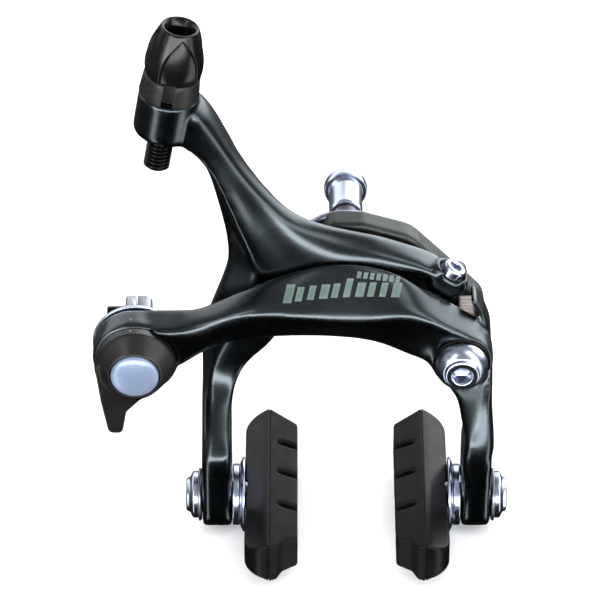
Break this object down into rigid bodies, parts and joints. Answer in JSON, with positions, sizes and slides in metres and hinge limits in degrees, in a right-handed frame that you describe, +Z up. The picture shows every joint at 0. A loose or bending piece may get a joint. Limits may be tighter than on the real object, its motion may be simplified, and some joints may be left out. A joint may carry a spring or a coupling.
{
  "type": "rim brake caliper",
  "caption": "Dual-pivot side-pull rim brake caliper for a road bicycle, with cable adjuster, quick-release lever, slotted arms and long brake pads.",
  "frame": {"origin": "axis of the mounting bolt in the plane where the serrated washer seats on the frame or fork", "axes": "+Y back along the mounting bolt, +Z up, +X towards the second pivot"},
  "size_m": [0.0951, 0.0812, 0.1282],
  "materials": {
    "anodised_dark": "satin dark grey clear coat",
    "bracket_dark": "satin dark grey",
    "bright_steel": "polished plating",
    "steel": "zinc plated",
    "spring_steel": "bright drawn wire",
    "bronze": "sintered bronze",
    "lever_black": "satin warm black",
    "dark_plastic": "satin black",
    "pale_plastic": "matt, off-white",
    "washer_plastic": "smooth low friction",
    "pad_rubber": "matt black",
    "pad_back": "satin black",
    "black_steel": "blackened"
  },
  "bodies": {
    "mount": {"bracket": "bracket_dark", "mounting_bolt": "steel", "seating_washer": "steel", "rear_thrust_washer": "washer_plastic", "front_thrust_washer": "washer_plastic", "pivot_nut": "steel", "side_pivot_bolt": "bright_steel", "side_thrust_washer": "washer_plastic", "side_head_washer": "black_steel", "return_spring": "spring_steel"},
    "left_arm": {"y_arm": "anodised_dark", "left_pivot_bush": "bronze"},
    "centring_screw": {"centring_screw": "bright_steel"},
    "adjuster_collar": {"adjuster_collar": "dark_plastic"},
    "adjuster": {"adjuster_knob": "dark_plastic", "adjuster_stem": "black_steel"},
    "right_arm": {"c_arm": "anodised_dark", "right_pivot_bush": "bronze", "spring_shoe": "pale_plastic", "cam_bush": "bronze", "cam_plate": "bright_steel"},
    "quick_release": {"quick_release_lever": "lever_black", "quick_release_shaft": "steel", "quick_release_cap": "bright_steel"},
    "cable_anchor": {"anchor_block": "steel", "clamp_plate": "steel", "clamp_bolt": "black_steel"},
    "recessed_nut": {"recessed_nut": "bright_steel"},
    "left_pad_clamp": {"left_spacer_washer": "bright_steel", "left_outer_washer": "steel", "left_pad_nut": "bright_steel"},
    "left_pad": {"left_brake_block": "pad_rubber", "left_pad_holder": "pad_back", "left_pad_stud": "steel", "left_dished_washer": "bright_steel"},
    "right_pad_clamp": {"right_spacer_washer": "bright_steel", "right_outer_washer": "steel", "right_pad_nut": "bright_steel"},
    "right_pad": {"right_brake_block": "pad_rubber", "right_pad_holder": "pad_back", "right_pad_stud": "steel", "right_dished_washer": "bright_steel"}
  },
  "joints": [
    {"name": "left_arm_pivot", "type": "hinge", "parent": "mount", "child": "left_arm", "pos_m": [0, -0.012, 0], "axis": [0, -1, 0], "range_deg": [0, 7], "stiffness_Nm_per_rad": 0.5, "springref_deg": -34.38},
    {"name": "right_arm_pivot", "type": "hinge", "parent": "mount", "child": "right_arm", "pos_m": [0.0259, -0.018, -0.0112], "axis": [0, 1, 0], "range_deg": [0, 9]},
    {"name": "quick_release_turn", "type": "hinge", "parent": "right_arm", "child": "quick_release", "pos_m": [-0.048, -0.022, -0.0112], "axis": [0, 1, 0], "range_deg": [0, 100]},
    {"name": "cable_anchor_lift", "type": "slide", "parent": "right_arm", "child": "cable_anchor", "axis": [0, 0, 1], "range_m": [0, 0.00352]},
    {"name": "adjuster_lift", "type": "slide", "parent": "left_arm", "child": "adjuster_collar", "axis": [0.1621, 0, 0.9868], "range_m": [0, 0.006]},
    {"name": "adjuster_turn", "type": "hinge", "parent": "adjuster_collar", "child": "adjuster", "pos_m": [-0.04118, -0.012, 0.04317], "axis": [0.1621, 0, 0.9868], "range_deg": [0, 2160]},
    {"name": "centring_turn", "type": "hinge", "parent": "left_arm", "child": "centring_screw", "pos_m": [0.0247, -0.015, 0.0078], "axis": [-0.557, 0, -0.8305], "range_deg": [-90, 90]},
    {"name": "nut_off", "type": "slide", "parent": "mount", "child": "recessed_nut", "axis": [0, 1, 0], "range_m": [0, 0.03]},
    {"name": "left_pad_height", "type": "slide", "parent": "left_arm", "child": "left_pad_clamp", "axis": [0, 0, 1], "range_m": [0, 0.01]},
    {"name": "left_pad_tilt", "type": "hinge", "parent": "left_pad_clamp", "child": "left_pad", "pos_m": [-0.03, -0.0262, -0.049], "axis": [1, 0, 0], "range_deg": [-12, 12]},
    {"name": "right_pad_height", "type": "slide", "parent": "right_arm", "child": "right_pad_clamp", "axis": [0, 0, 1], "range_m": [0, 0.01]},
    {"name": "right_pad_tilt", "type": "hinge", "parent": "right_pad_clamp", "child": "right_pad", "pos_m": [0.03, -0.0262, -0.049], "axis": [1, 0, 0], "range_deg": [-12, 12]}
  ],
  "couplings": [
    {"joint": "right_arm_pivot", "follows": "left_arm_pivot", "ratio": 1.28},
    {"joint": "cable_anchor_lift", "follows": "quick_release_turn", "m_per_rad": 0.002017},
    {"joint": "adjuster_turn", "follows": "adjuster_lift", "rad_per_m": 6283.2}
  ]
}
